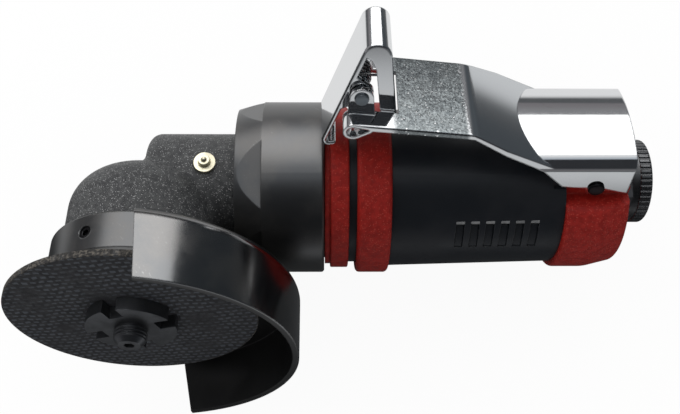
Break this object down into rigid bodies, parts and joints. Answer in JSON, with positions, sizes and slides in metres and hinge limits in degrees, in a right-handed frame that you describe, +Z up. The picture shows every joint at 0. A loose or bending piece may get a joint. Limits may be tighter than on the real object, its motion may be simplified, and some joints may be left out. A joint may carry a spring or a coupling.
{
  "type": "air angle grinder",
  "caption": "Air angle grinder with a guarded cutting wheel on a swivel bevel-gear head, a vane motor grip and a sprung lever with a safety latch.",
  "frame": {"origin": "centre of the air inlet's mouth, at the rear end of the tool", "axes": "+X along the motor towards the air inlet, +Z up from the table that the tool lies on, the wheel's face towards -Y and up"},
  "size_m": [0.1982, 0.1156, 0.0973],
  "materials": {
    "cast_black": "rough cast, painted black",
    "satin_black": "smooth satin black",
    "red_paint": "dark red, fine grain",
    "chrome_plate": "polished plate, dull on the grip",
    "dark_steel": "blackened",
    "bright_steel": "machined",
    "liner_iron": "ground",
    "valve_alloy": "machined",
    "brass_part": "turned",
    "abrasive": "resin and fibre mesh",
    "vane_fibre": "fibre sheet",
    "seal_rubber": "moulded"
  },
  "bodies": {
    "motor": {"motor_housing": "satin_black", "narrow_ring": "red_paint", "wide_ring": "red_paint", "shaft_seal": "seal_rubber", "front_end_plate": "liner_iron", "rear_end_plate": "liner_iron", "cylinder_liner": "liner_iron", "liner_dowel": "bright_steel", "rotor_front_bearing": "bright_steel", "rotor_rear_bearing": "bright_steel", "valve_body": "valve_alloy", "valve_bushing": "brass_part", "valve_seal": "seal_rubber", "valve_spring": "bright_steel", "end_cap": "red_paint", "lever_pin": "dark_steel", "inlet_bushing": "dark_steel", "inlet_screen": "bright_steel"},
    "head": {"head_casting": "cast_black", "grease_nipple": "brass_part", "spindle_upper_bearing": "bright_steel", "spindle_lower_bearing": "bright_steel", "bearing_spacer": "bright_steel", "bearing_retainer": "bright_steel", "pinion_bearing": "bright_steel", "pinion_spacer": "bright_steel"},
    "spindle": {"spindle": "bright_steel", "driven_gear": "bright_steel", "gear_clip": "bright_steel", "spindle_upper_race": "bright_steel", "spindle_lower_race": "bright_steel", "inner_flange": "dark_steel", "cutting_wheel": "abrasive", "flange_nut": "dark_steel"},
    "rotor": {"rotor": "bright_steel", "rotor_vanes": "vane_fibre", "pinion": "bright_steel", "pinion_screw": "bright_steel", "pinion_race": "bright_steel", "rotor_front_race": "bright_steel", "rotor_rear_race": "bright_steel"},
    "guard": {"guard_collar": "satin_black", "guard_screw": "dark_steel", "guard_shell": "satin_black"},
    "clamp_nut": {"clamp_nut": "satin_black"},
    "lever": {"throttle_lever": "chrome_plate", "latch_pin": "dark_steel"},
    "latch": {"safety_latch": "chrome_plate", "latch_spring": "bright_steel"},
    "valve_stem": {"valve_stem": "bright_steel"},
    "regulator": {"regulator_ring": "dark_steel"}
  },
  "joints": [
    {"name": "head_swivel", "type": "hinge", "parent": "motor", "child": "head", "pos_m": [-0.1607, -0.0017, -0.00294], "axis": [1, 0, 0], "range_deg": [-60, 60]},
    {"name": "spindle_spin", "type": "hinge", "parent": "head", "child": "spindle", "pos_m": [-0.1607, -0.0017, -0.00294], "axis": [0, -0.9063, 0.4226], "continuous": true},
    {"name": "rotor_spin", "type": "hinge", "parent": "head", "child": "rotor", "pos_m": [-0.1607, -0.0017, -0.00294], "axis": [1, 0, 0], "continuous": true},
    {"name": "guard_turn", "type": "hinge", "parent": "head", "child": "guard", "pos_m": [-0.1607, -0.0017, -0.00294], "axis": [0, -0.9063, 0.4226], "continuous": true},
    {"name": "clamp_nut_turn", "type": "hinge", "parent": "motor", "child": "clamp_nut", "pos_m": [-0.1607, -0.0017, -0.00294], "axis": [1, 0, 0], "range_deg": [0, 90]},
    {"name": "lever_squeeze", "type": "hinge", "parent": "motor", "child": "lever", "pos_m": [-0.0214, 0.0083, 0.01438], "axis": [0, -0.866, 0.5], "range_deg": [0, 7], "stiffness_Nm_per_rad": 2, "springref_deg": -5.73},
    {"name": "latch_fold", "type": "hinge", "parent": "lever", "child": "latch", "pos_m": [-0.093, 0.02395, 0.04148], "axis": [0, 0.866, -0.5], "range_deg": [0, 56.1]},
    {"name": "valve_push", "type": "slide", "parent": "motor", "child": "valve_stem", "axis": [0, -0.5, -0.866], "range_m": [0, 0.00211]},
    {"name": "regulator_turn", "type": "hinge", "parent": "motor", "child": "regulator", "pos_m": [0, 0, 0], "axis": [1, 0, 0], "range_deg": [0, 90]}
  ],
  "couplings": [
    {"joint": "rotor_spin", "follows": "spindle_spin", "ratio": -2},
    {"joint": "latch_fold", "follows": "lever_squeeze", "ratio": 8},
    {"joint": "valve_push", "follows": "lever_squeeze", "m_per_rad": 0.017189}
  ]
}
